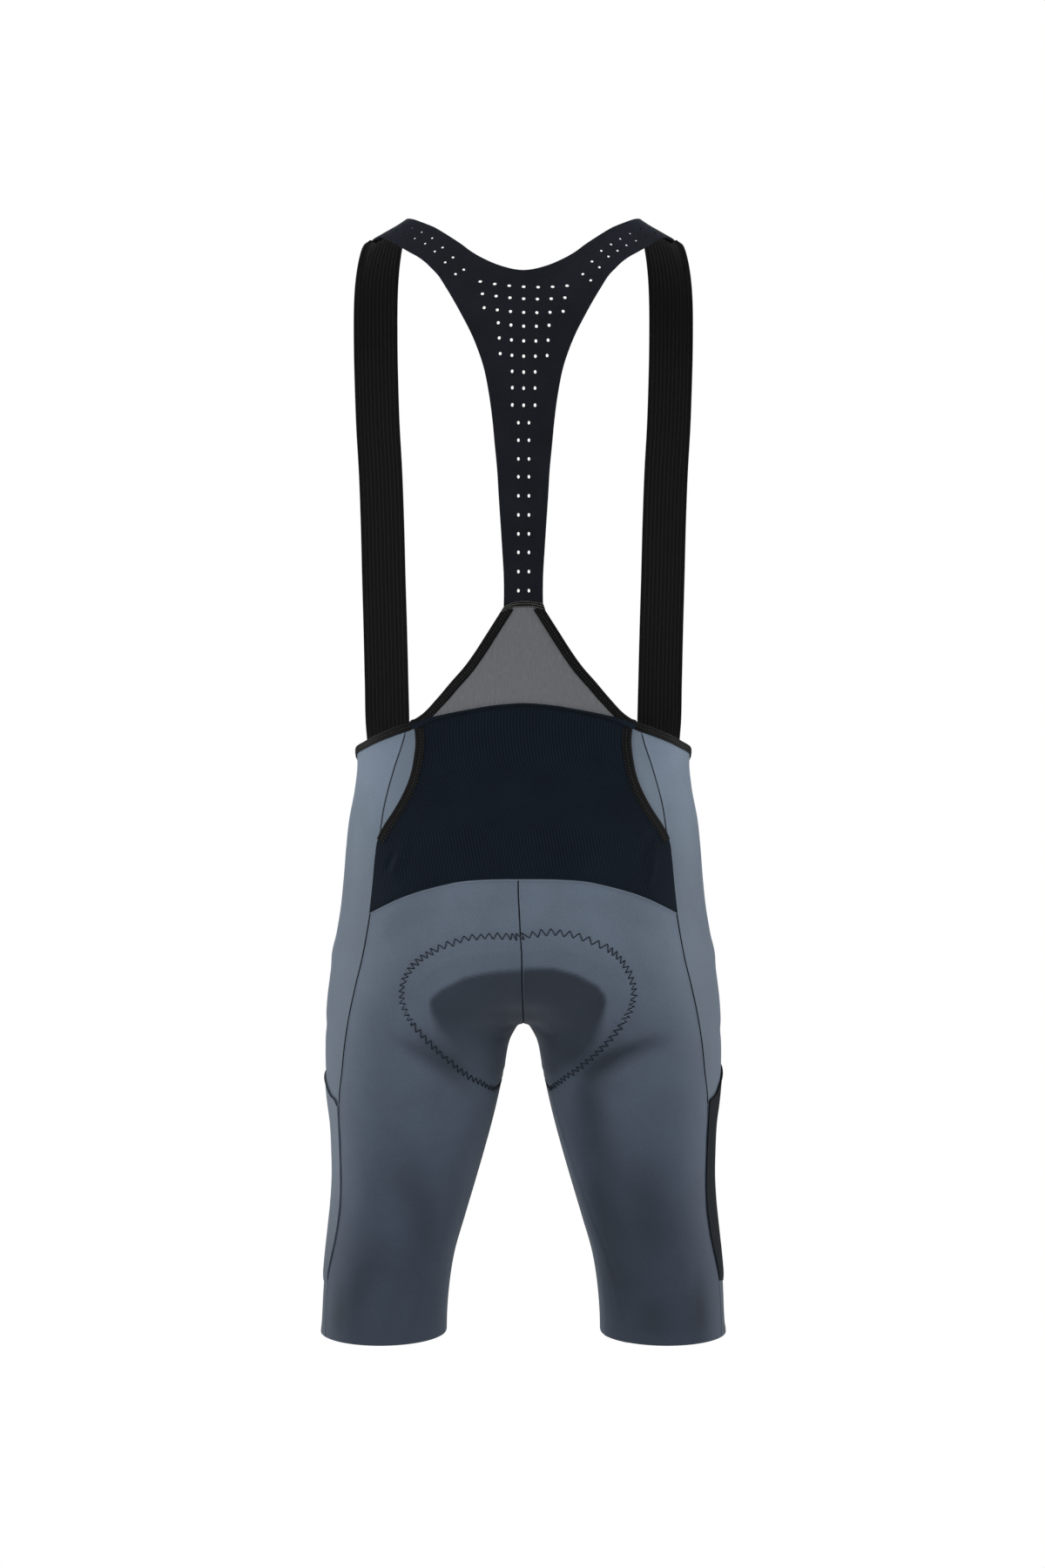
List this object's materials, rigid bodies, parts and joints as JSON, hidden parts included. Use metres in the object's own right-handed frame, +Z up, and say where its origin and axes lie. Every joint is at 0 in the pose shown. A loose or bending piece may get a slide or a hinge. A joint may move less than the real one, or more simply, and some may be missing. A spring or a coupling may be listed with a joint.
{
  "type": "cycling bib shorts",
  "caption": "Cycling bib shorts in their worn shape: fitted legs, padded seat, overlay back pocket, leg pockets, mesh back, perforated shoulder yoke and ribbed elastic straps.",
  "frame": {"origin": "level with the tops of the shoulder straps, midway between them, where the wearer's shoulders hold the garment up", "axes": "+Z up, +Y toward the back of the garment, +X toward the wearer's left"},
  "size_m": [0.3526, 0.233, 0.9652],
  "materials": {
    "seat_cloth": "matte knitted nylon and elastane, slight sheen, blue grey",
    "side_cloth": "matte knitted nylon and elastane, slight sheen, light blue grey",
    "pocket_cloth": "fine matte knit, near-black navy",
    "black_pocket_cloth": "fine matte knit, near-black",
    "binding": "folded elastic tape, matte black with a satin edge",
    "strap_elastic": "ribbed woven elastic, matte black",
    "yoke_cloth": "perforated smooth knit, navy black",
    "mesh": "sheer fine mesh, grey",
    "chamois": "brushed foam-backed microfibre, near-black"
  },
  "bodies": {
    "root": {"back_yoke": "yoke_cloth", "strap_left": "strap_elastic", "strap_right": "strap_elastic", "bib_mesh_panel": "mesh", "base_back_panel": "side_cloth", "back_pocket": "pocket_cloth", "pocket_binding_left": "binding", "pocket_binding_right": "binding", "edge_binding": "binding", "side_panel_left": "side_cloth", "side_panel_right": "side_cloth", "back_leg_left": "seat_cloth", "back_leg_right": "seat_cloth", "front_leg_left": "seat_cloth", "front_leg_right": "seat_cloth", "leg_pocket_left": "side_cloth", "leg_pocket_right": "black_pocket_cloth", "chamois_pad": "chamois"}
  },
  "joints": []
}
